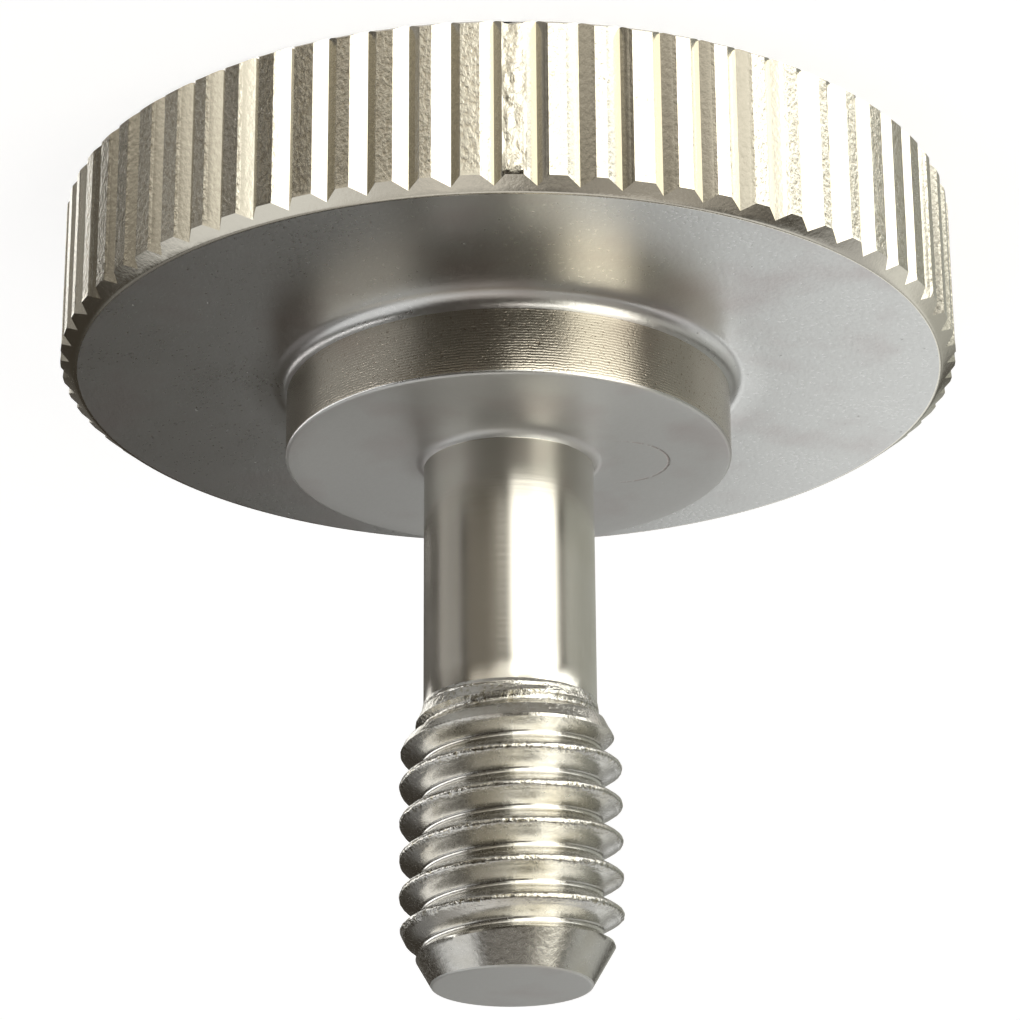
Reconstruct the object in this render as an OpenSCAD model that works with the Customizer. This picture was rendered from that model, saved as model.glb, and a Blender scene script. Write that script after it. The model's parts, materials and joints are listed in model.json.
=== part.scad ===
// Thumb screw with a straight-knurled disc head, a seating boss, a slim plain
// shank and a metric thread. It is turned from one bar, so it is one solid.
// The origin is the centre of the head's flat top face, which stands on the
// floor. +Z runs along the axis, towards the threaded tip.

/* [Head] */
// Diameter over the knurl's lands
head_d = 24.6; // [16:0.1:36]
// Thickness from the top face to the underside
head_h = 4.7; // [2.5:0.1:8]
// Radial width of the bevel round the underside
under_bevel_w = 0.41; // [0.1:0.01:0.8]
// Axial height of the bevel round the underside
under_bevel_h = 0.31; // [0.1:0.01:0.8]
// Radial width of the bevel round the top face
top_bevel_w = 0.2; // [0.05:0.01:0.8]
// Axial height of the bevel round the top face
top_bevel_h = 0.15; // [0.05:0.01:0.8]

/* [Knurl] */
// Number of V grooves round the head
groove_count = 71; // [40:1:90]
// Depth of each groove below the lands
groove_depth = 0.25; // [0.1:0.01:0.35]
// Share of the pitch that stays as a land between two grooves
land_share = 0.38; // [0.1:0.01:0.6]
// Turn of the first groove about the axis, in degrees
groove_turn = -58.1; // [-180:0.1:180]

/* [Boss] */
// Diameter of the seating boss
boss_d = 12.2; // [8:0.1:16]
// Height of the boss above the head's underside
boss_h = 2.3; // [0.8:0.1:5]
// Radius of the fillet where the boss meets the head
boss_fillet_r = 0.45; // [0.1:0.05:0.7]
// Bevel that breaks the boss's rim
boss_edge = 0.1; // [0.05:0.01:0.3]

/* [Shank] */
// Diameter of the plain shank, slimmer than the thread's root
shank_d = 4.64; // [3:0.02:4.7]
// Length of the shank from the boss's face to the thread
shank_len = 7; // [3:0.1:20]
// Radius of the fillet where the shank meets the boss
shank_fillet_r = 0.25; // [0.05:0.05:0.4]

/* [Thread] */
// Diameter over the thread's crests
thread_d = 5.97; // [5.8:0.01:6.6]
// Distance between neighbouring crests
thread_pitch = 1; // [0.7:0.05:1]
// Length of the thread from the shank to the tip face
thread_len = 7.7; // [4:0.1:30]
// Angle to the axis of the cone that leads from the shank to full thread
lead_angle = 26; // [15:1:60]
// Height of the helix at the +X side, above the end of the shank
crest_phase = 0.31; // [0:0.01:0.99]

/* [Tip] */
// Diameter of the flat tip face
tip_d = 4.2; // [2:0.1:4.6]
// Angle of the tip's cone to the axis, in degrees
tip_angle = 30; // [20:1:60]

/* [Hidden] */
$fn = 96;
boss_face_z = head_h + boss_h;
thread_z = boss_face_z + shank_len;
tip_z = thread_z + thread_len;
// Basic ISO profile: 60 degree flanks, a crest an eighth of the pitch wide,
// and a root 0.613 of the pitch below the crest.
root_r = thread_d / 2 - 0.613 * thread_pitch;
crest_half = thread_pitch / 16;
flank_slope = tan(30);
// The ridge's foot is sunk into the core so that the two fuse cleanly
foot_r = root_r - 0.08;
foot_half = crest_half + (thread_d / 2 - foot_r) * flank_slope;
steps_per_turn = 40;
step_rise = thread_pitch / steps_per_turn;
// The helix starts a turn before the thread and ends a turn past the tip,
// and the thread's envelope cuts both ends off.
ridge_steps = ceil((thread_len / thread_pitch + 2) * steps_per_turn);
lead_slope = tan(lead_angle);
tip_slope = tan(tip_angle);
// The ridge's lead cone lies this far inside the core's, so that the ridge
// comes out of solid metal whatever the shank's and the thread's diameters are.
lead_sink = 0.03;
groove_half = (1 - land_share) * PI * head_d / groove_count / 2;
// How far a cutter reaches past the surface that it cuts
clear = 0.5;

// Quarter-round web that fills an inside corner at the origin, up and right
module corner_web(r) {
    difference() {
        square(r);
        translate([r, r]) circle(r = r);
    }
}

// Half section of the turned blank: X is the radius and Y the height
module blank_section() {
    head_r = head_d / 2;
    boss_r = boss_d / 2;
    polygon([
        [0, 0],
        [head_r - top_bevel_w, 0],
        [head_r, top_bevel_h],
        [head_r, head_h - under_bevel_h],
        [head_r - under_bevel_w, head_h],
        [boss_r, head_h],
        [boss_r, boss_face_z - boss_edge],
        [boss_r - boss_edge, boss_face_z],
        [shank_d / 2, boss_face_z],
        [shank_d / 2, thread_z],
        [root_r, thread_z + abs(root_r - shank_d / 2) / lead_slope],
        [root_r, tip_z - (root_r - tip_d / 2) / tip_slope],
        [tip_d / 2, tip_z],
        [0, tip_z],
    ]);
    translate([boss_r, head_h]) corner_web(boss_fillet_r);
    translate([shank_d / 2, boss_face_z]) corner_web(shank_fillet_r);
}

// One V groove's cutter, with its bottom edge at the knurl's root
module groove_cutter() {
    head_r = head_d / 2;
    reach = (groove_depth + clear) / groove_depth;
    translate([head_r - groove_depth, 0, -clear])
        linear_extrude(head_h + 2 * clear)
            polygon([
                [0, 0],
                [groove_depth + clear, -groove_half * reach],
                [groove_depth + clear, groove_half * reach],
            ]);
}

module knurl_grooves() {
    for (i = [0 : groove_count - 1])
        rotate([0, 0, groove_turn + i * 360 / groove_count]) groove_cutter();
}

// Right-hand ridge of the thread, swept along its helix with its full profile
module thread_ridge() {
    crest_r = thread_d / 2;
    profile = [
        [foot_r, -foot_half],
        [crest_r, -crest_half],
        [crest_r, crest_half],
        [foot_r, foot_half],
    ];
    function at(step, corner) =
        let (turn = step * 360 / steps_per_turn)
            [
                corner[0] * cos(turn),
                corner[0] * sin(turn),
                thread_z + crest_phase - thread_pitch + step * step_rise + corner[1],
            ];
    points = [for (step = [0 : ridge_steps], corner = profile) at(step, corner)];
    sides = [
        for (step = [0 : ridge_steps - 1], k = [0 : 3])
            let (a = 4 * step + k, b = 4 * step + (k + 1) % 4)
                each [[a, b, b + 4], [a, b + 4, a + 4]],
    ];
    last = 4 * ridge_steps;
    ends = [[0, 3, 2, 1], [last, last + 1, last + 2, last + 3]];
    polyhedron(points, concat(sides, ends));
}

// Space that the thread may fill: the lead cone, the full diameter and the tip cone
module thread_envelope() {
    over_r = thread_d / 2 + 0.1;
    lead_r = shank_d / 2 - lead_sink;
    low_r = min(foot_r, lead_r) - 0.2;
    rotate_extrude()
        polygon([
            [0, thread_z - (lead_r - low_r) / lead_slope],
            [low_r, thread_z - (lead_r - low_r) / lead_slope],
            [over_r, thread_z + (over_r - lead_r) / lead_slope],
            [over_r, tip_z - (over_r - tip_d / 2) / tip_slope],
            [tip_d / 2, tip_z],
            [0, tip_z],
        ]);
}

module thumb_screw() {
    color("silver") {
        difference() {
            rotate_extrude() blank_section();
            knurl_grooves();
        }
        intersection() {
            thread_ridge();
            thread_envelope();
        }
    }
}

thumb_screw();
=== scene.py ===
import json
import math

import bmesh
import bpy
from mathutils import Matrix, Vector


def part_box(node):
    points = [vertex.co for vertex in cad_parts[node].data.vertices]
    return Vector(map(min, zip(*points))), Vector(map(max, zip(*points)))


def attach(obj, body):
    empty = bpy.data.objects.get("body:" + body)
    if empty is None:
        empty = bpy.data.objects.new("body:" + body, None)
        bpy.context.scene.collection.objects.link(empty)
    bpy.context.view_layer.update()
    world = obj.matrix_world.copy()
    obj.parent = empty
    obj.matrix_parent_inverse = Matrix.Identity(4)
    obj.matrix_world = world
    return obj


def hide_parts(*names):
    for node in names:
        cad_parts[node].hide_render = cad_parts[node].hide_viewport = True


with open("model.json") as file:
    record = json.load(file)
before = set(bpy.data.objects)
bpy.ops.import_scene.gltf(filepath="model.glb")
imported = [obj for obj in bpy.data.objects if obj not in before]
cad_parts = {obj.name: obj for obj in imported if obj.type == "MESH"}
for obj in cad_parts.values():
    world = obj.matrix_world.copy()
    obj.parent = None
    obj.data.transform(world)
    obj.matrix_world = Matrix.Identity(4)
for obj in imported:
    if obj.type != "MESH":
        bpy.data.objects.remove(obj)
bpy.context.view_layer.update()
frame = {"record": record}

# ---------------------------------------------------------------------------
# Knurled rim. The steel head's edge, into which a wheel pressed 71 straight V
# grooves, with torn, uneven lands left between them. One tooth is modelled, from
# valley to valley and from bevel to bevel, and Geometry Nodes set it round.
# ---------------------------------------------------------------------------
mm = 0.001
low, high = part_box("thumb_screw")
head_r = (high.y - low.y) / 2
head_h = 4.7 * mm
top_bevel = (0.2 * mm, 0.15 * mm)
under_bevel = (0.41 * mm, 0.31 * mm)
groove_count = 71
groove_depth = 0.25 * mm
first_groove = math.radians(-58.1)
# Fine tearing and slow waves of the lands, as grains in a metre
land_grain = 4200.0
land_wave = 900.0
tooth_angle = 2 * math.pi / groove_count
land_share = 0.38
# A land's wear fades out over this share of a tooth, and this far from the bevel
land_fade = 0.03
bevel_gap = 0.08 * mm
# The corner between the lower bevel and the underside is rounded a little
rounding = 0.06 * mm
bevel_slope = Vector(under_bevel).normalized()
wall_rows = 26
# Points nearer than this are one point
weld = 0.001 * mm


def put(tree, socket, value):
    """Sets an input to a number, a colour or another node's output."""
    if isinstance(value, bpy.types.NodeSocket):
        tree.links.new(value, socket)
    else:
        socket.default_value = value


def add(tree, kind, settings=None, **inputs):
    """Adds a node, with its settings and its inputs given by name."""
    made = tree.nodes.new(kind)
    for name, value in (settings or {}).items():
        setattr(made, name, value)
    for name, value in inputs.items():
        label = name.replace("_", " ").lower()
        socket = next(s for s in made.inputs if s.enabled and s.name.lower() == label)
        put(tree, socket, value)
    return made


def out(made, name=None):
    """The node's first live output, or the one with that name."""
    return next(s for s in made.outputs if s.enabled and name in (None, s.name))


def calc(tree, operation, *terms):
    """One step of arithmetic on numbers or on other nodes' outputs."""
    made = tree.nodes.new("ShaderNodeMath")
    made.operation = operation
    for socket, term in zip(made.inputs, terms):
        put(tree, socket, term)
    return made.outputs[0]


def ramp(tree, value, start, end, low_to=0.0, high_to=1.0, smooth=False):
    """Carries value from start..end over to low_to..high_to, and stops at both ends."""
    made = tree.nodes.new("ShaderNodeMapRange")
    made.interpolation_type = "SMOOTHSTEP" if smooth else "LINEAR"
    for socket, term in zip(made.inputs, (value, start, end, low_to, high_to)):
        put(tree, socket, term)
    return made.outputs[0]


def steel(name, colour, roughness):
    """A bare steel material, with its object coordinates ready for patterns."""
    material = bpy.data.materials.new(name)
    material.use_nodes = True
    tree = material.node_tree
    shader = tree.nodes["Principled BSDF"]
    shader.inputs["Metallic"].default_value = 1.0
    shader.inputs["Base Color"].default_value = (*colour, 1.0)
    shader.inputs["Roughness"].default_value = roughness
    place = tree.nodes.new("ShaderNodeTexCoord").outputs["Object"]
    return material, tree, shader, place


def speckle(tree, place, size, detail=2.0, stretch=(1, 1, 1)):
    """Noise from 0 to 1 whose grains are about size across, in metres."""
    scaled = add(tree, "ShaderNodeMapping", Vector=place, Scale=[s / size for s in stretch])
    grain = add(tree, "ShaderNodeTexNoise", Vector=out(scaled), Scale=1.0, Detail=detail)
    return out(grain)


def tinted(tree, shader, amount, colour, stain):
    """Mixes the steel's colour towards a stain where amount is high."""
    mix = tree.nodes.new("ShaderNodeMix")
    mix.data_type = "RGBA"
    put(tree, mix.inputs["Factor"], amount)
    sockets = [s for s in mix.inputs if s.type == "RGBA"]
    put(tree, sockets[0], (*colour, 1.0))
    put(tree, sockets[1], (*stain, 1.0))
    made = next(s for s in mix.outputs if s.type == "RGBA")
    put(tree, shader.inputs["Base Color"], made)


def roughened(tree, shader, amount, least, most):
    """Carries a 0 to 1 pattern over to the surface's roughness."""
    put(tree, shader.inputs["Roughness"], ramp(tree, amount, 0.0, 1.0, least, most))


def dented(tree, shader, height, depth, strength=1.0):
    """Raises the surface by height times depth, in metres."""
    bump = add(tree, "ShaderNodeBump", Height=height, Distance=depth, Strength=strength)
    put(tree, shader.inputs["Normal"], out(bump))


def knurled_steel():
    """The rim: bright flanks where the wheel cut, and torn, speckled lands."""
    colour = (0.62, 0.59, 0.51)
    stain = (0.36, 0.30, 0.20)
    material, tree, shader, place = steel("knurled_steel", colour, 0.3)
    land = add(tree, "ShaderNodeAttribute", {"attribute_name": "land"}).outputs["Fac"]
    grain = speckle(tree, place, 0.1 * mm, 3.0, (1.0, 1.0, 0.7))
    dark = ramp(tree, grain, 0.34, 0.52, 0.35, 0.0)
    tinted(tree, shader, calc(tree, "MULTIPLY", dark, land), colour, stain)
    blend = calc(tree, "MULTIPLY_ADD", land, 0.3, calc(tree, "MULTIPLY", grain, 0.5))
    roughened(tree, shader, blend, 0.11, 0.36)
    height = calc(tree, "MULTIPLY", grain, ramp(tree, land, 0.0, 1.0, 0.2, 1.0))
    dented(tree, shader, height, 0.016 * mm)
    return material


rim_finish = knurled_steel()

# Places across one tooth, from valley to valley, as shares of its pitch
half_tooth = [0.0, 0.07, 0.15, 0.23, 0.31, 0.34, 0.38, 0.44]
tooth_places = half_tooth + [0.5] + [1 - share for share in reversed(half_tooth)]


def tooth_radius(share):
    """The rim's radius at that share of a tooth: a V groove, a land, a V groove."""
    flank_share = (1 - land_share) / 2
    into_groove = max(0.0, flank_share - min(share, 1 - share)) / flank_share
    return head_r - groove_depth * into_groove


def bevel_height(radius, bevel):
    """How far up a bevel's cone the rim's wall starts at that radius."""
    width, height = bevel
    return height * max(0.0, radius - (head_r - width)) / width


def tooth_column(share):
    """One column of a tooth's points: top bevel, wall, then the underside's bevel."""
    radius = tooth_radius(share)
    wall_low = bevel_height(radius, top_bevel)
    wall_high = head_h - bevel_height(radius, under_bevel)
    rim_r = min(radius, head_r - top_bevel[0])
    under_r = head_r - under_bevel[0]
    profile = [(rim_r, 0.0), ((rim_r + radius) / 2, wall_low / 2)]
    for row in range(wall_rows + 1):
        profile.append((radius, wall_low + (wall_high - wall_low) * row / wall_rows))
    # The lower bevel, then the curve that rounds its inner edge
    for part in (0.1, 0.6):
        bevel_r = radius + (under_r - radius) * part
        profile.append((bevel_r, wall_high + (head_h - wall_high) * part))
    for along in (0.0, 0.33, 0.67, 1.0):
        across = rounding * (bevel_slope.x * (1 - along) ** 2 - along**2)
        profile.append((under_r + across, head_h - rounding * bevel_slope.y * (1 - along) ** 2))
    angle = (share - 0.5) * tooth_angle
    return [Vector((r * math.cos(angle), r * math.sin(angle), z)) for r, z in profile]


def new_tree(name, sizes):
    """An empty Geometry Nodes tree with a geometry input and named sizes."""
    tree = bpy.data.node_groups.new(name, "GeometryNodeTree")
    tree.interface.new_socket("Geometry", in_out="OUTPUT", socket_type="NodeSocketGeometry")
    tree.interface.new_socket("Geometry", in_out="INPUT", socket_type="NodeSocketGeometry")
    for label, value in sizes.items():
        kind = "Int" if isinstance(value, int) else "Float"
        tree.interface.new_socket(label, in_out="INPUT", socket_type=f"NodeSocket{kind}")
    given = tree.nodes.new("NodeGroupInput")
    return tree, {socket.name: socket for socket in given.outputs if socket.name}


def grown(template, tree, sizes):
    """Runs the tree on the template's mesh and returns the plain mesh it makes."""
    maker = template.modifiers.new(tree.name, "NODES")
    maker.node_group = tree
    for item in tree.interface.items_tree:
        if item.in_out == "INPUT" and item.name in sizes:
            maker[item.identifier] = sizes[item.name]
    bpy.context.view_layer.update()
    ready = template.evaluated_get(bpy.context.evaluated_depsgraph_get())
    mesh = bpy.data.meshes.new_from_object(ready)
    old = template.data
    bpy.data.objects.remove(template)
    bpy.data.meshes.remove(old)
    return mesh


def grid_object(name, columns):
    """A sheet of quads from equally long columns of points, standing side by side."""
    tall = len(columns[0])
    points = [point for column in columns for point in column]
    faces = [
        (c * tall + r, (c + 1) * tall + r, (c + 1) * tall + r + 1, c * tall + r + 1)
        for c in range(len(columns) - 1)
        for r in range(tall - 1)
    ]
    mesh = bpy.data.meshes.new(name)
    mesh.from_pydata(points, [], faces)
    made = bpy.data.objects.new(name, mesh)
    bpy.context.scene.collection.objects.link(made)
    return made


def knurl_tree(sizes):
    """Sets the tooth round the rim, then makes its lands uneven, torn and rough."""
    tree, size = new_tree("knurled_rim", sizes)
    index = tree.nodes.new("GeometryNodeInputIndex").outputs[0]
    step = calc(tree, "DIVIDE", 2 * math.pi, size["Grooves"])
    turn = calc(tree, "MULTIPLY_ADD", calc(tree, "ADD", index, 0.5), step, size["First groove"])
    spin = add(tree, "ShaderNodeCombineXYZ", Z=turn)
    points = add(tree, "GeometryNodePoints", Count=size["Grooves"])
    ring = add(tree, "GeometryNodeInstanceOnPoints", Points=out(points),
               Instance=size["Geometry"], Rotation=out(spin))
    solid = add(tree, "GeometryNodeRealizeInstances", Geometry=out(ring))
    joined = add(tree, "GeometryNodeMergeByDistance", Geometry=out(solid), Distance=weld)

    place = tree.nodes.new("GeometryNodeInputPosition").outputs[0]
    split = add(tree, "ShaderNodeSeparateXYZ", Vector=place)
    x, y, z = split.outputs
    around = calc(tree, "SUBTRACT", calc(tree, "ARCTAN2", y, x), size["First groove"])
    phase = calc(tree, "DIVIDE", around, step)
    tooth = calc(tree, "FLOOR", phase)
    tooth_id = calc(tree, "WRAP", tooth, size["Grooves"], 0.0)
    off_centre = calc(tree, "SUBTRACT", calc(tree, "FRACT", phase), 0.5)
    side = calc(tree, "SIGN", off_centre)
    far = calc(tree, "ABSOLUTE", off_centre)

    def chance(seed, least, most):
        """A random number that stays the same all over one tooth."""
        made = add(tree, "FunctionNodeRandomValue", {"data_type": "FLOAT"}, Min=least,
                   Max=most, ID=tooth_id, Seed=calc(tree, "ADD", size["Seed"], seed))
        return out(made)

    # A land of another width carries the template's columns along with its edges
    half = calc(tree, "MULTIPLY", size["Land share"], 0.5)
    spread = size["Land spread"]
    half_here = calc(tree, "MULTIPLY_ADD", chance(0, -0.5, 0.5), spread, half)
    on_land = ramp(tree, far, 0.0, half, 0.0, half_here)
    on_flank = ramp(tree, far, half, 0.5, 0.0, calc(tree, "SUBTRACT", 0.5, half_here))
    far_here = calc(tree, "ADD", on_land, on_flank)
    sway = calc(tree, "MULTIPLY", chance(1, -0.5, 0.5), size["Sway"])
    facing = calc(tree, "DIVIDE", x, head_r)
    # The lands lean all one way, and twice as far on the +X side
    leaning = ramp(tree, facing, -0.3, 0.2, 0.5, 1.0)
    sway = calc(tree, "MULTIPLY_ADD", leaning, size["Lean"], sway)
    fade = calc(tree, "MULTIPLY_ADD", far_here, -2.0, 1.0)
    moved = calc(tree, "SUBTRACT", calc(tree, "MULTIPLY", side, far_here), off_centre)
    moved = calc(tree, "MULTIPLY_ADD", sway, fade, moved)
    turned = add(tree, "ShaderNodeVectorRotate", {"rotation_type": "Z_AXIS"},
                 Vector=place, Angle=calc(tree, "MULTIPLY", moved, step))

    # The lands are worn and torn inwards, never past the blank's own diameter
    land = ramp(tree, far, half, calc(tree, "ADD", half, land_fade), 1.0, 0.0)
    bevel_start = head_h - under_bevel[1]
    below_bevel = ramp(tree, z, bevel_start - bevel_gap, bevel_start, 1.0, 0.0)
    land = calc(tree, "MULTIPLY", land, below_bevel)
    grain = out(add(tree, "ShaderNodeTexNoise", Vector=place, Scale=land_grain, Detail=2.0))
    wave = out(add(tree, "ShaderNodeTexNoise", Vector=place, Scale=land_wave, Detail=1.0))
    rough = calc(tree, "MULTIPLY", calc(tree, "ADD", grain, wave), size["Wear"])
    is_torn = calc(tree, "COMPARE", tooth_id, size["Torn tooth"], 0.1)
    tear = calc(tree, "MULTIPLY", calc(tree, "MULTIPLY", is_torn, size["Tear"]), grain)
    cut = calc(tree, "MULTIPLY", calc(tree, "ADD", rough, tear), land)
    radius = calc(tree, "SQRT", calc(tree, "ADD", calc(tree, "MULTIPLY", x, x),
                                     calc(tree, "MULTIPLY", y, y)))
    shrink = calc(tree, "SUBTRACT", 1.0, calc(tree, "DIVIDE", cut, radius))
    flat = add(tree, "ShaderNodeCombineXYZ", X=shrink, Y=shrink, Z=1.0)
    final = add(tree, "ShaderNodeVectorMath", {"operation": "MULTIPLY"})
    put(tree, final.inputs[0], out(turned))
    put(tree, final.inputs[1], out(flat))
    marked = add(tree, "GeometryNodeStoreNamedAttribute", {"data_type": "FLOAT"},
                 Geometry=out(joined), Name="land", Value=land)
    placed = add(tree, "GeometryNodeSetPosition", Geometry=out(marked), Position=out(final))
    plain = add(tree, "GeometryNodeRealizeInstances", Geometry=out(placed))
    finished = add(tree, "GeometryNodeSetMaterial", Geometry=out(plain), Material=rim_finish)
    add(tree, "NodeGroupOutput", Geometry=out(finished))
    return tree


knurl_sizes = {
    "Grooves": groove_count,
    "First groove": first_groove,
    "Land share": land_share,
    "Land spread": 0.13,
    "Sway": 0.05,
    "Lean": 0.07,
    "Wear": 0.012 * mm,
    "Torn tooth": 64,
    "Tear": 0.12 * mm,
    "Seed": 11,
}
tooth = grid_object("tooth", [tooth_column(share) for share in tooth_places])
rim_mesh = grown(tooth, knurl_tree(knurl_sizes), knurl_sizes)

# ---------------------------------------------------------------------------
# Thread. A right-hand 60 degree thread with 1 mm between its crests, cut with a
# die into the same steel bar and galled by use. One turn of the ridge is
# modelled, and Geometry Nodes repeat it and trim it to the cones at both ends.
# ---------------------------------------------------------------------------
mounts = {mount["name"]: mount for mount in frame["record"]["mounts"]}
tip_z = high.z
tip_r = 2.1 * mm
shank_r = 2.32 * mm
thread_r = mounts["thread"]["dims"]["r_mm"] * mm
thread_z = tip_z - mounts["thread"]["dims"]["length_mm"] * mm
pitch = 1.0 * mm
root_r = thread_r - 0.613 * pitch
crest_half = pitch / 16
crest_phase = 0.31 * mm
lead_slope = math.tan(math.radians(26))
lead_sink = 0.03 * mm
tip_slope = math.tan(math.radians(30))
flank_slope = math.tan(math.radians(30))
crest_round_r = 0.1 * mm
root_round_r = 0.12 * mm
crest_grain = 3600.0
# Galling reaches this far down from the crests, and all over the first turn,
# where it fades out between these two heights above the thread's start
crest_band = 0.18 * mm
first_turn = (0.4 * mm, 1.5 * mm)
ring_columns = 2 * groove_count


def threaded_steel():
    """The thread: burnished flanks, with crests that are galled and bright."""
    colour = (0.62, 0.61, 0.575)
    stain = (0.44, 0.41, 0.33)
    material, tree, shader, place = steel("threaded_steel", colour, 0.3)
    crest = add(tree, "ShaderNodeAttribute", {"attribute_name": "crest"}).outputs["Fac"]
    grain = speckle(tree, place, 0.12 * mm, 3.0)
    cloud = speckle(tree, place, 1.3 * mm, 2.0)
    torn = calc(tree, "MULTIPLY", ramp(tree, grain, 0.36, 0.46, 1.0, 0.0), crest)
    stained = calc(tree, "MAXIMUM", ramp(tree, cloud, 0.45, 0.7, 0.0, 0.5), torn)
    tinted(tree, shader, stained, colour, stain)
    roughened(tree, shader, grain, 0.14, 0.34)
    height = calc(tree, "MULTIPLY", grain, ramp(tree, crest, 0.0, 1.0, 0.35, 2.6))
    dented(tree, shader, height, 0.014 * mm)
    return material


thread_finish = threaded_steel()


def corner_arc(before, corner, after, radius, steps):
    """Points of an arc of that radius that rounds the corner between two points."""
    a = (Vector(before) - Vector(corner)).normalized()
    b = (Vector(after) - Vector(corner)).normalized()
    opening = a.angle(b)
    centre = Vector(corner) + (a + b).normalized() * (radius / math.sin(opening / 2))
    start = Vector(corner) + a * (radius / math.tan(opening / 2)) - centre
    sweep = math.pi - opening
    sense = 1 if a.x * b.y - a.y * b.x < 0 else -1
    points = []
    for step in range(steps + 1):
        angle = sense * sweep * step / steps
        points.append(centre + Matrix.Rotation(angle, 2) @ start)
    return points


def thread_section():
    """Half a ridge as (height above its crest, radius), from the crest to the root."""
    flank_end = crest_half + (thread_r - root_r) * flank_slope
    crest = (crest_half, thread_r)
    root = (flank_end, root_r)
    points = [Vector((0.0, thread_r))]
    points += corner_arc(points[0], crest, root, crest_round_r, 4)
    points += [Vector(crest).lerp(Vector(root), part) for part in (0.3, 0.5, 0.7)]
    points += corner_arc(crest, root, (pitch / 2, root_r), root_round_r, 4)
    points.append(Vector((pitch / 2, root_r)))
    return points


def thread_column(turn_share, section):
    """One column of a turn's points, with its crest on the helix at that angle."""
    angle = 2 * math.pi * turn_share
    crest_z = thread_z + crest_phase + pitch * turn_share
    return [Vector((r * math.cos(angle), r * math.sin(angle), crest_z + z)) for z, r in section]


def thread_tree(sizes):
    """Repeats one turn along the axis and trims it to the lead cone and the tip."""
    tree, size = new_tree("thread", sizes)
    index = tree.nodes.new("GeometryNodeInputIndex").outputs[0]
    lift = calc(tree, "MULTIPLY", calc(tree, "SUBTRACT", index, 2.0), size["Pitch"])
    points = add(tree, "GeometryNodePoints", Count=size["Turns"],
                 Position=out(add(tree, "ShaderNodeCombineXYZ", Z=lift)))
    stack = add(tree, "GeometryNodeInstanceOnPoints", Points=out(points),
                Instance=size["Geometry"])
    solid = add(tree, "GeometryNodeRealizeInstances", Geometry=out(stack))

    place = tree.nodes.new("GeometryNodeInputPosition").outputs[0]
    x, y, z = add(tree, "ShaderNodeSeparateXYZ", Vector=place).outputs
    flat = add(tree, "ShaderNodeVectorMath", {"operation": "LENGTH"})
    put(tree, flat.inputs[0], out(add(tree, "ShaderNodeCombineXYZ", X=x, Y=y)))
    radius = out(flat)
    last = calc(tree, "SUBTRACT", size["End"], size["Tip rounding"])
    height = calc(tree, "MINIMUM", calc(tree, "MAXIMUM", z, size["Start"]), last)
    rise = calc(tree, "MULTIPLY", calc(tree, "SUBTRACT", height, size["Start"]), size["Lead slope"])
    core = calc(tree, "MINIMUM", calc(tree, "ADD", size["Shank radius"], rise), size["Root radius"])
    lead = calc(tree, "ADD", calc(tree, "SUBTRACT", size["Shank radius"], size["Lead sink"]), rise)
    fall = calc(tree, "MULTIPLY", calc(tree, "SUBTRACT", size["End"], height), size["Tip slope"])
    cone = calc(tree, "ADD", size["Tip radius"], fall)
    ridge = calc(tree, "MAXIMUM", core, calc(tree, "MINIMUM", radius, lead))
    trimmed = calc(tree, "MINIMUM", ridge, cone)

    # Crests are galled inwards, and everything keeps inside the thread's diameter
    here = add(tree, "ShaderNodeCombineXYZ", X=x, Y=y, Z=height)
    grain = out(add(tree, "ShaderNodeTexNoise", Vector=out(here), Scale=crest_grain, Detail=2.0))
    band_low = calc(tree, "SUBTRACT", size["Crest radius"], crest_band)
    crest = ramp(tree, trimmed, band_low, size["Crest radius"])
    fade_from, fade_to = (calc(tree, "ADD", size["Start"], above) for above in first_turn)
    first = ramp(tree, height, fade_from, fade_to, 1.0, 0.0)
    first = calc(tree, "MULTIPLY", first, ramp(tree, rise, 0.0, 0.1 * mm))
    worn = calc(tree, "MAXIMUM", crest, first)
    gall = calc(tree, "MULTIPLY", calc(tree, "MULTIPLY", grain, worn), size["Galling"])
    scale = calc(tree, "DIVIDE", calc(tree, "SUBTRACT", trimmed, gall), radius)
    final = add(tree, "ShaderNodeCombineXYZ", X=calc(tree, "MULTIPLY", x, scale),
                Y=calc(tree, "MULTIPLY", y, scale), Z=height)
    marked = add(tree, "GeometryNodeStoreNamedAttribute", {"data_type": "FLOAT"},
                 Geometry=out(solid), Name="crest", Value=worn)
    placed = add(tree, "GeometryNodeSetPosition", Geometry=out(marked), Position=out(final))
    joined = add(tree, "GeometryNodeMergeByDistance", Geometry=out(placed), Distance=weld)
    plain = add(tree, "GeometryNodeRealizeInstances", Geometry=out(joined))
    finished = add(tree, "GeometryNodeSetMaterial", Geometry=out(plain), Material=thread_finish)
    add(tree, "NodeGroupOutput", Geometry=out(finished))
    return tree


thread_sizes = {
    "Turns": math.ceil((tip_z - thread_z) / pitch) + 3,
    "Pitch": pitch,
    "Start": thread_z,
    "End": tip_z,
    "Shank radius": shank_r,
    "Root radius": root_r,
    "Crest radius": thread_r,
    "Lead slope": lead_slope,
    "Lead sink": lead_sink,
    "Tip radius": tip_r,
    "Tip slope": tip_slope,
    "Tip rounding": 0.05 * mm,
    "Galling": 0.07 * mm,
}
half_section = thread_section()
whole_section = [Vector((-z, r)) for z, r in reversed(half_section)] + half_section[1:]
turn_columns = [
    thread_column(column / ring_columns, whole_section) for column in range(ring_columns + 1)
]
thread_turn = grid_object("thread_turn", turn_columns)
thread_mesh = grown(thread_turn, thread_tree(thread_sizes), thread_sizes)

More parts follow.
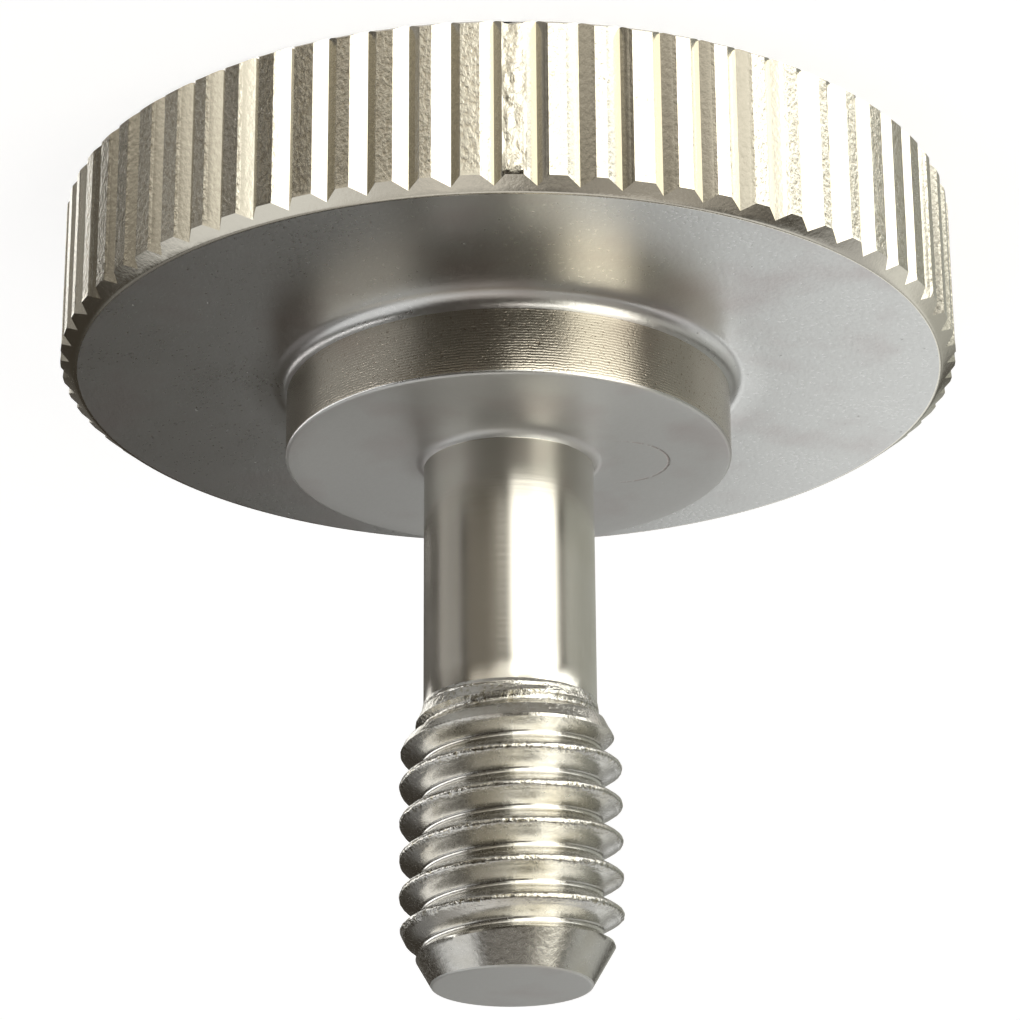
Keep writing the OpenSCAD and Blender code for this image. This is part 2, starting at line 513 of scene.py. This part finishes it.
# ---------------------------------------------------------------------------
# Turned faces, boss and shank. Bare steel off the lathe: faced underside and
# boss, a fillet at the foot of each step, broken edges, and a polished shank that
# is slimmer than the thread. Rings of points join the rim to the thread here.
# ---------------------------------------------------------------------------
boss_r = 6.1 * mm
boss_face_z = mounts["seat"]["pos_m"][2]
boss_fillet_r = 0.45 * mm
boss_edge = 0.1 * mm
shank_fillet_r = 0.25 * mm
round_steps = 8
edge_w = 0.02 * mm
scratch_centre = (-2.9 * mm, 0.0, boss_face_z)
scratch_r = 1.48 * mm
# Rings left by facing and by feeding the tool, as waves in a metre
facing_rings = 3200.0
feed_lines = 4100.0
# Neighbouring faces that meet at more than this angle keep a sharp edge
sharp_angle = math.radians(24)


def scratch(tree, place, grain):
    """A broken crescent scratch on the boss's face, beside the shank."""
    away = add(tree, "ShaderNodeVectorMath", {"operation": "SUBTRACT"})
    put(tree, away.inputs[0], place)
    put(tree, away.inputs[1], scratch_centre)
    x, y, z = add(tree, "ShaderNodeSeparateXYZ", Vector=out(away)).outputs
    squares = calc(tree, "ADD", calc(tree, "MULTIPLY", x, x), calc(tree, "MULTIPLY", y, y))
    far = calc(tree, "SQRT", squares)
    off_line = calc(tree, "ABSOLUTE", calc(tree, "SUBTRACT", far, scratch_r))
    line = ramp(tree, off_line, 0.015 * mm, 0.045 * mm, 1.0, 0.0)
    here = ramp(tree, x, -0.6 * mm, 0.1 * mm, 1.0, 0.0)
    level = ramp(tree, calc(tree, "ABSOLUTE", z), 0.05 * mm, 0.1 * mm, 1.0, 0.0)
    broken = ramp(tree, grain, 0.38, 0.5)
    crescent = calc(tree, "MULTIPLY", line, here)
    return calc(tree, "MULTIPLY", crescent, calc(tree, "MULTIPLY", level, broken))


def faced_steel():
    """Flat faces: satin, with fine rings from the facing cut, stains and pits."""
    colour = (0.605, 0.605, 0.59)
    stain = (0.50, 0.44, 0.43)
    material, tree, shader, place = steel("faced_steel", colour, 0.4)
    cloud = speckle(tree, place, 3.2 * mm, 3.0)
    stained = ramp(tree, cloud, 0.5, 0.72, 0.0, 0.55)
    grain = speckle(tree, place, 0.12 * mm, 3.0)
    height_here = add(tree, "ShaderNodeSeparateXYZ", Vector=place).outputs[2]
    duller = ramp(tree, height_here, boss_face_z - 0.06 * mm, boss_face_z - 0.03 * mm, 0.0, 1.5)
    satin = calc(tree, "MULTIPLY_ADD", cloud, 0.5, calc(tree, "ADD", grain, duller))
    put(tree, shader.inputs["Roughness"], ramp(tree, satin, 0.0, 2.4, 0.19, 0.55))
    rings = add(tree, "ShaderNodeTexWave", {"wave_type": "RINGS", "rings_direction": "Z"},
                Vector=place, Scale=facing_rings, Distortion=4.0, Detail=2.0)
    pits = ramp(tree, speckle(tree, place, 0.2 * mm, 1.0), 0.16, 0.21, -3.0, 0.0)
    fine = calc(tree, "MULTIPLY_ADD", grain, 1.1, pits)
    ringed = calc(tree, "MULTIPLY_ADD", out(rings, "Fac"), 0.05, fine)
    mark = scratch(tree, place, grain)
    height = calc(tree, "MULTIPLY_ADD", mark, -6.0, ringed)
    dented(tree, shader, height, 0.003 * mm)
    dark = calc(tree, "MAXIMUM", stained, calc(tree, "MULTIPLY", mark, 0.9))
    tinted(tree, shader, dark, colour, stain)
    return material


def feed_line_steel_painted_shade():
    """The boss's wall: painted darker and browner than the faces as painted shade, with the lathe's
    feed lines and torn specks.
    """
    # Painted shade: the same steel as the faces, given a darker, browner colour
    colour = (0.54, 0.50, 0.43)
    stain = (0.26, 0.21, 0.16)
    material, tree, shader, place = steel("feed_line_steel_painted_shade", colour, 0.3)
    feed = add(tree, "ShaderNodeTexWave", {"bands_direction": "Z"},
               Vector=place, Scale=feed_lines, Distortion=3.0, Detail=3.0)
    specks = speckle(tree, place, 0.07 * mm, 1.0)
    torn = ramp(tree, specks, 0.26, 0.36, 1.0, 0.0)
    uneven = calc(tree, "MULTIPLY_ADD", specks, 1.3, out(feed, "Fac"))
    both = calc(tree, "SUBTRACT", uneven, torn)
    tinted(tree, shader, calc(tree, "MULTIPLY", torn, 0.8), colour, stain)
    roughened(tree, shader, specks, 0.12, 0.30)
    dented(tree, shader, both, 0.002 * mm)
    return material


def polished_steel():
    """The shank: polished smooth, with only a trace of the cut."""
    colour = (0.62, 0.60, 0.55)
    stain = (0.52, 0.49, 0.42)
    material, tree, shader, place = steel("polished_steel", colour, 0.2)
    lines = speckle(tree, place, 0.12 * mm, 2.0, (0.06, 0.06, 1.0))
    cloud = speckle(tree, place, 1.6 * mm, 2.0)
    tinted(tree, shader, ramp(tree, cloud, 0.45, 0.75, 0.0, 0.4), colour, stain)
    roughened(tree, shader, cloud, 0.15, 0.26)
    dented(tree, shader, lines, 0.0012 * mm)
    return material


finishes = [faced_steel(), feed_line_steel_painted_shade(), polished_steel(), rim_finish, thread_finish]
FACE, WALL, SHANK, KNURL, THREAD = range(len(finishes))


def quarter(centre_r, centre_z, radius, first, last):
    """Points of an arc in the section, between two angles in degrees."""
    points = []
    for step in range(round_steps + 1):
        angle = math.radians(first + (last - first) * step / round_steps)
        points.append((centre_r + radius * math.cos(angle), centre_z + radius * math.sin(angle)))
    return points


def evenly(start, end, parts):
    """Section points between two ends, without the ends themselves."""
    return [
        (start[0] + (end[0] - start[0]) * i / parts, start[1] + (end[1] - start[1]) * i / parts)
        for i in range(1, parts)
    ]


def open_loop(bm, height):
    """The open edge's points at that height, in order round the axis from +X."""
    points = {
        point
        for edge in bm.edges if edge.is_boundary
        for point in edge.verts if abs(point.co.z - height) < weld
    }
    return sorted(points, key=lambda p: math.atan2(p.co.y, p.co.x) % (2 * math.pi))


def join_loops(bm, outer, inner, finish):
    """Faces between two loops, where the inner has as many points or half as many."""
    n = len(inner)
    for i in range(n):
        j = (i + 1) % n
        if len(outer) == n:
            corners = [(outer[i], outer[j], inner[j], inner[i])]
        else:
            a, b, c = (outer[k % len(outer)] for k in (2 * i, 2 * i + 1, 2 * i + 2))
            corners = [(a, b, inner[i]), (b, inner[j], inner[i]), (b, c, inner[j])]
        for corner in corners:
            bm.faces.new(corner).material_index = finish


def ring(bm, count, radius, height):
    """A loop of evenly spaced points round the axis, starting at +X."""
    step = 2 * math.pi / count
    return [
        bm.verts.new((radius * math.cos(step * i), radius * math.sin(step * i), height))
        for i in range(count)
    ]


def same_angles(bm, loop, radius, height):
    """A loop at another radius, with each point at the angle of the given loop's."""
    made = []
    for point in loop:
        flat = point.co.xy.normalized() * radius
        made.append(bm.verts.new((flat.x, flat.y, height)))
    return made


def close_face(bm, loop, height, finish, insets):
    """Closes a flat end with rings that shrink to a point at its centre."""
    for radius in insets:
        count = len(loop) // 2 if len(loop) > ring_columns else len(loop)
        inner = ring(bm, count, radius, height)
        join_loops(bm, loop, inner, finish)
        loop = inner
    centre = bm.verts.new((0, 0, height))
    for i, point in enumerate(loop):
        bm.faces.new((point, loop[(i + 1) % len(loop)], centre)).material_index = finish


bm = bmesh.new()
bm.from_mesh(rim_mesh)
for face in bm.faces:
    face.material_index = KNURL
rim_faces = len(bm.faces)
bm.from_mesh(thread_mesh)
bm.faces.ensure_lookup_table()
for face in bm.faces[rim_faces:]:
    face.material_index = THREAD

under_loop = open_loop(bm, head_h)
top_loop = open_loop(bm, 0.0)
shank_end = open_loop(bm, thread_z)
tip_loop = open_loop(bm, tip_z - thread_sizes["Tip rounding"])

# From the rim's bevel inwards over the underside, the points thin out by halves
under_r = head_r - under_bevel[0]
underside_inset = 1.8 * mm
loop = under_loop
inner = same_angles(bm, loop, under_r - rounding - edge_w, head_h)
join_loops(bm, loop, inner, FACE)
loop = inner
for inset in (0.2 * mm, 0.8 * mm, underside_inset):
    inner = ring(bm, len(loop) // 2, under_r - inset, head_h)
    join_loops(bm, loop, inner, FACE)
    loop = inner

underside_in = under_r - underside_inset
fillet_r = boss_r + boss_fillet_r
section = [(point, FACE) for point in evenly((underside_in, head_h), (fillet_r, head_h), 5)]
foot = quarter(fillet_r, head_h + boss_fillet_r, boss_fillet_r, -90, -180)
section += [(point, FACE) for point in foot]
wall_top = boss_face_z - boss_edge
section += [(point, WALL) for point in evenly(foot[-1], (boss_r, wall_top), 8)]
lip = quarter(boss_r - boss_edge, wall_top, boss_edge, 0, 90)
section += [(point, WALL) for point in lip[:1]] + [(point, FACE) for point in lip[1:]]
neck_r = shank_r + shank_fillet_r
section += [(point, FACE) for point in evenly(lip[-1], (neck_r, boss_face_z), 8)]
neck = quarter(neck_r, boss_face_z + shank_fillet_r, shank_fillet_r, -90, -180)
section += [(point, FACE) for point in neck[:-1]] + [(neck[-1], SHANK)]
section += [(point, SHANK) for point in evenly(neck[-1], (shank_r, thread_z), 12)]
for (radius, height), finish in section:
    inner = ring(bm, ring_columns, radius, height)
    join_loops(bm, loop, inner, finish)
    loop = inner
join_loops(bm, loop, shank_end, SHANK)

# The tip face's edge is rounded, then both ends are closed
for outwards, down in ((0.012, 0.023), (-0.012, 0.006), (-0.045, 0.0)):
    inner = same_angles(bm, tip_loop, tip_r + outwards * mm, tip_z - down * mm)
    join_loops(bm, tip_loop, inner, FACE)
    tip_loop = inner
close_face(bm, tip_loop, tip_z, FACE, (2.03 * mm, 1.6 * mm, 1.0 * mm, 0.4 * mm))
inner = same_angles(bm, top_loop, head_r - top_bevel[0] - 0.05 * mm, 0.0)
join_loops(bm, top_loop, inner, FACE)
close_face(bm, inner, 0.0, FACE, [r * mm for r in (11.6, 10.8, 9.6, 7.5, 5.0, 2.5, 1.0)])

bmesh.ops.recalc_face_normals(bm, faces=bm.faces)
screw_mesh = bpy.data.meshes.new("thumb_screw_turned")
bm.to_mesh(screw_mesh)
bm.free()
for finish in finishes:
    screw_mesh.materials.append(finish)
screw_mesh.shade_smooth()
screw_mesh.set_sharp_from_angle(angle=sharp_angle)
screw = bpy.data.objects.new("thumb_screw_turned", screw_mesh)
bpy.context.scene.collection.objects.link(screw)
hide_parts("thumb_screw")
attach(screw, "root")

# ---------------------------------------------------------------------------
# Floor. A plain white sheet under the screw, lit from itself so that it stays
# pale. The steel doesn't mirror it, so that only the studio shows in the metal.
# ---------------------------------------------------------------------------
floor_half = 3.0
floor_glow = 0.78


def white_sheet():
    """Matt white that glows a little."""
    material = bpy.data.materials.new("white_sheet")
    material.use_nodes = True
    shader = material.node_tree.nodes["Principled BSDF"]
    shader.inputs["Base Color"].default_value = (0.45, 0.45, 0.45, 1.0)
    shader.inputs["Roughness"].default_value = 1.0
    shader.inputs["Specular IOR Level"].default_value = 0.0
    shader.inputs["Emission Color"].default_value = (1.0, 1.0, 1.0, 1.0)
    shader.inputs["Emission Strength"].default_value = floor_glow
    return material


floor_mesh = bpy.data.meshes.new("floor")
floor_mesh.from_pydata(
    [(x * floor_half, y * floor_half, 0) for x, y in ((-1, -1), (1, -1), (1, 1), (-1, 1))],
    [], [(0, 1, 2, 3)],
)
floor_mesh.materials.append(white_sheet())
floor = bpy.data.objects.new("floor", floor_mesh)
floor.visible_glossy = False
floor.visible_shadow = False
bpy.context.scene.collection.objects.link(floor)

# ---------------------------------------------------------------------------
# Studio. Soft panels stand round the screw: a tall warm key at the front
# right, a pale window at the left, and paler ceiling and back. Each is given by
# where it stands, in degrees: round from the front towards -X, and up.
# ---------------------------------------------------------------------------
panels = [
    # (name, round, half width, up, half height, soft edge, colour, strength)
    ("key", 34, 26, -15, 16, 11, (1.0, 0.98, 0.90), 3.0),
    ("key_tail", -2, 10, -35, 9, 7, (1.0, 0.97, 0.88), 1.0),
    ("key_tail_wide", -14, 8, -35, 9, 8, (1.0, 0.96, 0.87), 0.28),
    ("key_low", 74, 32, -38, 10, 3, (1.0, 0.99, 0.94), 2.4),
    ("key_top", 48, 11, 20, 10, 12, (1.0, 0.97, 0.86), 3.0),
    ("side", 128, 44, -17, 8, 10, (0.97, 1.0, 0.91), 0.44),
    ("low_back", 150, 45, -46, 8, 8, (1.0, 0.98, 0.94), 0.9),
    ("left_streak", -88, 14, -20, 8, 12, (1.0, 0.97, 0.92), 0.27),
    ("left_dim", -130, 34, -18, 14, 10, (1.0, 0.98, 0.94), 0.07),
    ("left_edge", -150, 12, -34, 8, 5, (1.0, 0.99, 0.96), 1.8),
    ("left_front", -36, 18, -22, 12, 12, (1.0, 0.92, 0.78), 0.16),
    ("left_front_low", -36, 18, -38, 8, 4, (1.0, 0.95, 0.84), 0.60),
    ("left_middle", -98, 36, -4, 5, 4, (1.0, 0.99, 0.98), 2.6),
    ("left_window", -85, 26, 46, 15, 15, (0.98, 0.99, 1.0), 0.95),
    ("left_back", -150, 14, 42, 8, 8, (0.98, 0.99, 1.0), 0.18),
    ("right_window", 134, 16, 44, 12, 14, (0.98, 0.99, 1.0), 0.6),
    ("right_middle", 118, 34, 20, 9, 10, (0.98, 1.0, 0.95), 0.50),
    ("ceiling", -135, 135, 90, 14, 16, (1.0, 0.98, 0.95), 0.60),
    ("high_back", 180, 50, 68, 12, 12, (1.0, 0.98, 0.96), 0.34),
    ("back_right", 170, 4, 22, 14, 8, (0.98, 1.0, 1.0), 1.15),
    ("front", 22, 68, 62, 11, 12, (1.0, 0.95, 0.88), 0.40),
]
dark_corner = (0.050, 0.043, 0.034)


def studio(world):
    """The panels as light from the world, while the camera itself sees plain white."""
    world.use_nodes = True
    tree = world.node_tree
    tree.nodes.clear()
    way = tree.nodes.new("ShaderNodeTexCoord").outputs["Generated"]
    x, y, z = add(tree, "ShaderNodeSeparateXYZ", Vector=way).outputs
    minus_x, minus_y = (calc(tree, "MULTIPLY", axis, -1.0) for axis in (x, y))
    around = calc(tree, "DEGREES", calc(tree, "ARCTAN2", minus_x, minus_y))
    up = calc(tree, "DEGREES", calc(tree, "ARCSINE", z))
    total = (*dark_corner, 1.0)
    for name, at_round, half_w, at_up, half_h, soft, colour, strength in panels:
        aside = calc(tree, "WRAP", calc(tree, "SUBTRACT", around, at_round), 180.0, -180.0)
        aside = calc(tree, "ABSOLUTE", aside)
        above = calc(tree, "ABSOLUTE", calc(tree, "SUBTRACT", up, at_up))
        wide = ramp(tree, aside, half_w, half_w + soft, 1.0, 0.0, smooth=True)
        tall = ramp(tree, above, half_h, half_h + soft, 1.0, 0.0, smooth=True)
        lit = calc(tree, "MULTIPLY", wide, tall)
        mix = tree.nodes.new("ShaderNodeMix")
        mix.name = name
        mix.data_type = "RGBA"
        mix.blend_type = "ADD"
        put(tree, mix.inputs["Factor"], lit)
        first, second = [s for s in mix.inputs if s.type == "RGBA"]
        put(tree, first, total)
        put(tree, second, (*[channel * strength for channel in colour], 1.0))
        total = next(s for s in mix.outputs if s.type == "RGBA")
    light = add(tree, "ShaderNodeBackground", Color=total)
    plain = add(tree, "ShaderNodeBackground", Color=(1.0, 1.0, 1.0, 1.0))
    seen = tree.nodes.new("ShaderNodeLightPath").outputs["Is Camera Ray"]
    choice = tree.nodes.new("ShaderNodeMixShader")
    put(tree, choice.inputs[0], seen)
    put(tree, choice.inputs[1], out(light))
    put(tree, choice.inputs[2], out(plain))
    add(tree, "ShaderNodeOutputWorld", Surface=out(choice))


bpy.context.scene.world = bpy.data.worlds.new("studio")
studio(bpy.context.scene.world)
# The panels are wide and soft, so the light isn't sampled by its brightness
bpy.context.scene.world.cycles.sampling_method = "NONE"
bpy.context.scene.view_settings.view_transform = "Standard"

# ---------------------------------------------------------------------------
# Camera. It looks down on the standing screw from the front, at 21.65 degrees,
# and is held upside down, so that the head comes out on top and the tip below.
# ---------------------------------------------------------------------------
camera_up = math.radians(21.65)
camera_distance = 101.78 * mm
camera_lean = math.radians(0.383)
camera_lens = 131.9
sensor_width = 36.0
nearest = 0.005
aim = Vector((-0.026 * mm, 0.0, boss_face_z + 1.388 * mm))

towards = Vector((0.0, -math.cos(camera_up), math.sin(camera_up)))
level = Vector((-1.0, 0.0, 0.0))
over = level.cross(towards) * -1
right = level * math.cos(camera_lean) - over * math.sin(camera_lean)
upward = over * math.cos(camera_lean) + level * math.sin(camera_lean)
axes = Matrix((right, upward, towards)).transposed()
lens = bpy.data.cameras.new("camera")
lens.lens = camera_lens
lens.sensor_width = sensor_width
lens.clip_start = nearest
camera = bpy.data.objects.new("camera", lens)
camera.matrix_world = Matrix.Translation(aim + towards * camera_distance) @ axes.to_4x4()
bpy.context.scene.collection.objects.link(camera)
bpy.context.scene.camera = camera
